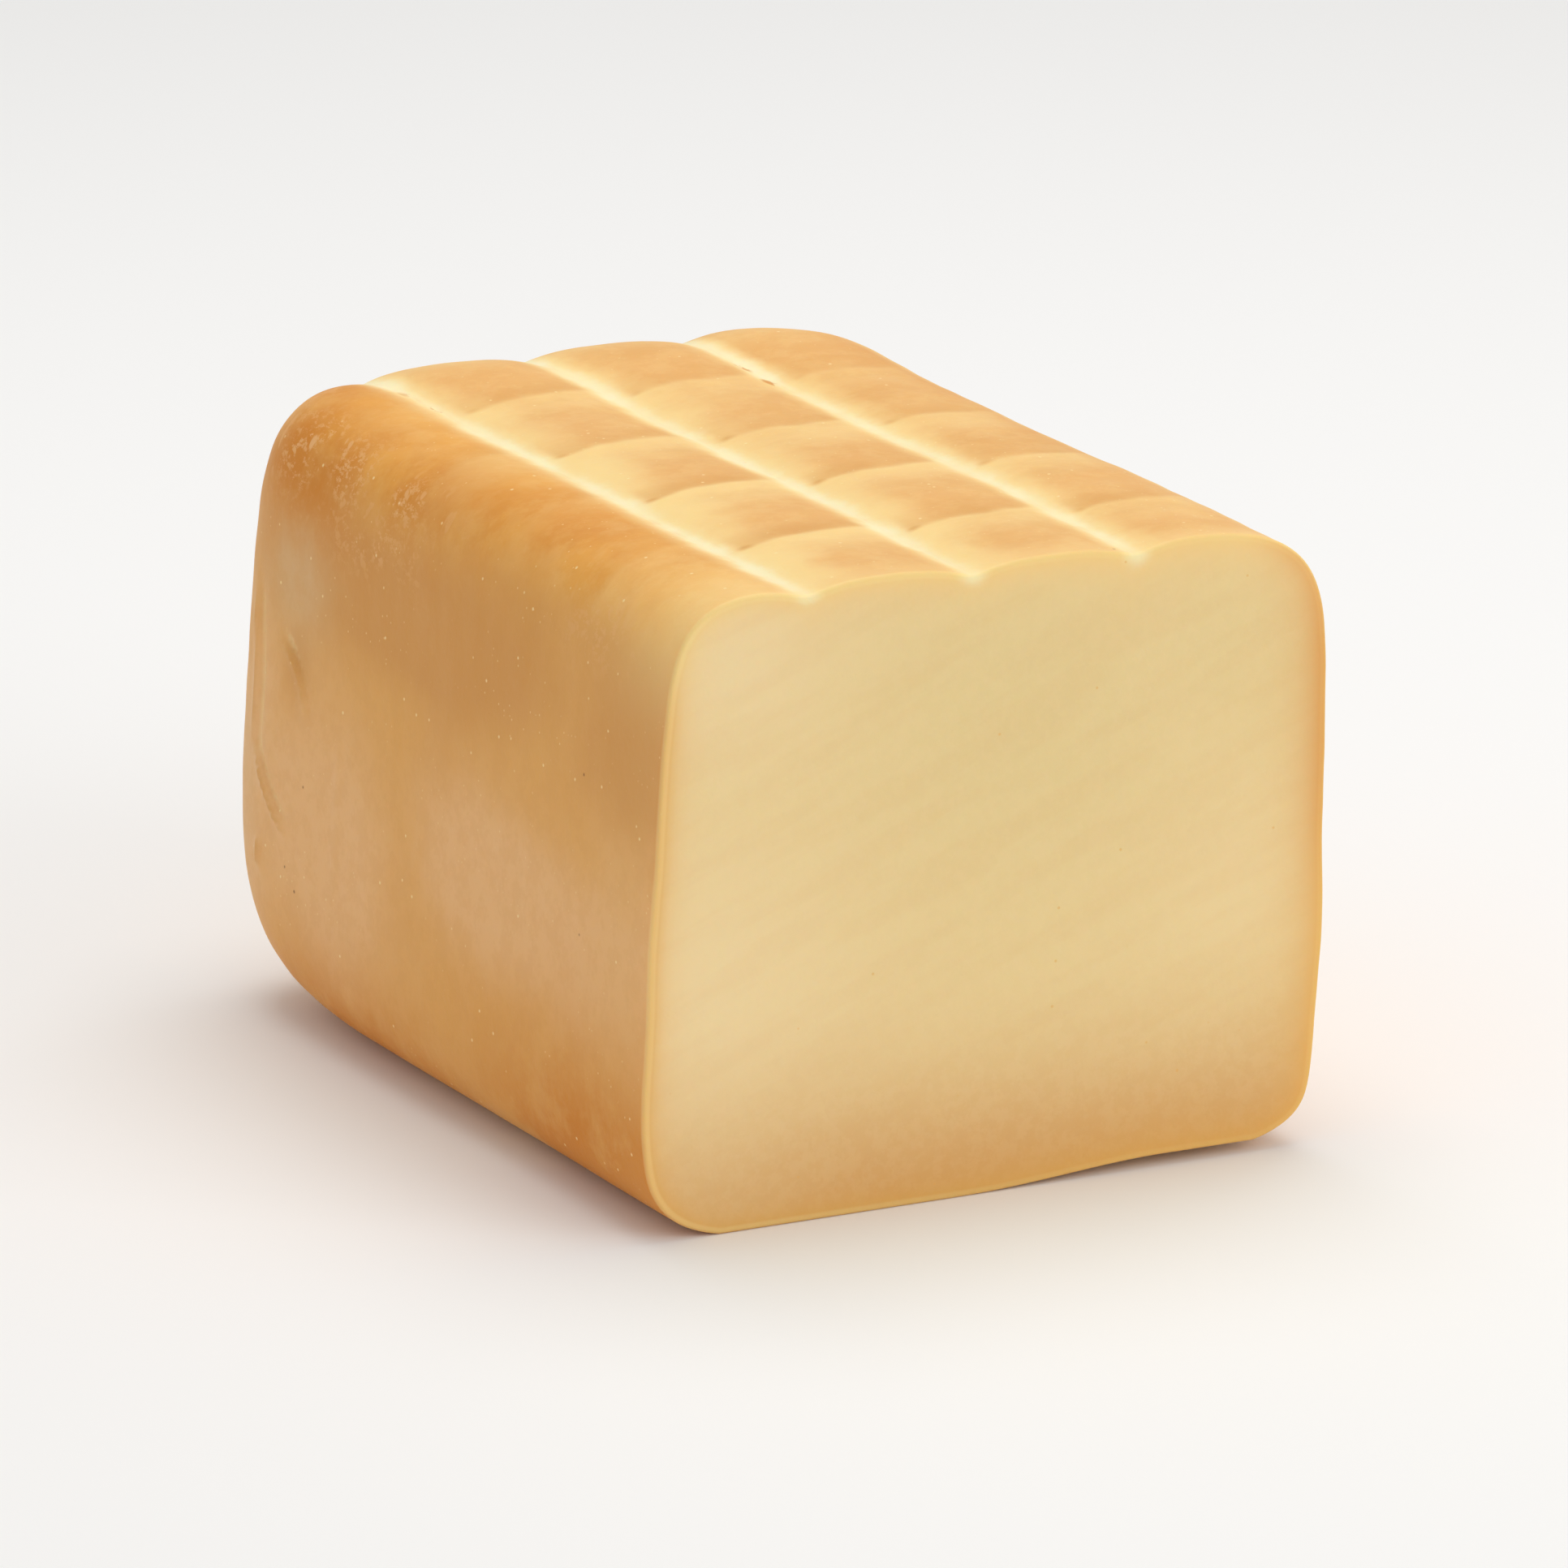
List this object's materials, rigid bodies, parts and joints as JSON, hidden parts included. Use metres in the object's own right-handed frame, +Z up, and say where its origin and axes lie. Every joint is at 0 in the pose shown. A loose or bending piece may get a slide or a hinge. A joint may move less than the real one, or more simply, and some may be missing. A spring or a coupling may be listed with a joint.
{
  "type": "smoked cheese loaf, cut half",
  "caption": "Blocky loaf of smoked cheese with softly rounded edges, rack grooves along its top and one flat cut face, for a board, shop or kitchen scene.",
  "frame": {"origin": "middle of the footprint, on the surface that the loaf rests on", "axes": "+Z up, +Y along the loaf from the cut face towards the uncut rounded end, +X across the loaf"},
  "size_m": [0.1076, 0.1458, 0.0953],
  "materials": {
    "smoked_cheese": "satin smoked rind, amber to tan, over pale cream-yellow cheese at the cut face"
  },
  "bodies": {
    "root": {"cheese_block": "smoked_cheese"}
  },
  "joints": []
}
